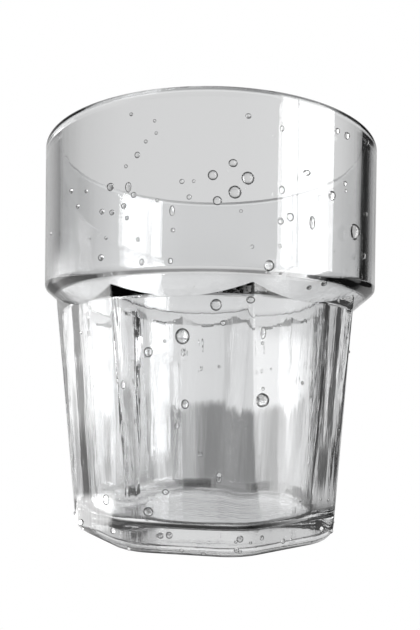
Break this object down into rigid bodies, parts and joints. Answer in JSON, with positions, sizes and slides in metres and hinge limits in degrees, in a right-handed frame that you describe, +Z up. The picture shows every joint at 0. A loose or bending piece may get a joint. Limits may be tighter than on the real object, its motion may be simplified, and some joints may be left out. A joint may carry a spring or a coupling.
{
  "type": "plastic tumbler",
  "caption": "Clear plastic drinking tumbler: a plain round band over a sloping shoulder and a tapered body of flat panels, with a thick floor.",
  "frame": {"origin": "middle of the foot, on the surface that the tumbler stands on", "axes": "+Z up through the mouth; -Y square to one flat panel, which is the front"},
  "size_m": [0.084, 0.084, 0.093],
  "materials": {
    "clear_plastic": "colourless see-through moulded plastic, polished inside and out"
  },
  "bodies": {
    "root": {"tumbler": "clear_plastic"}
  },
  "joints": []
}
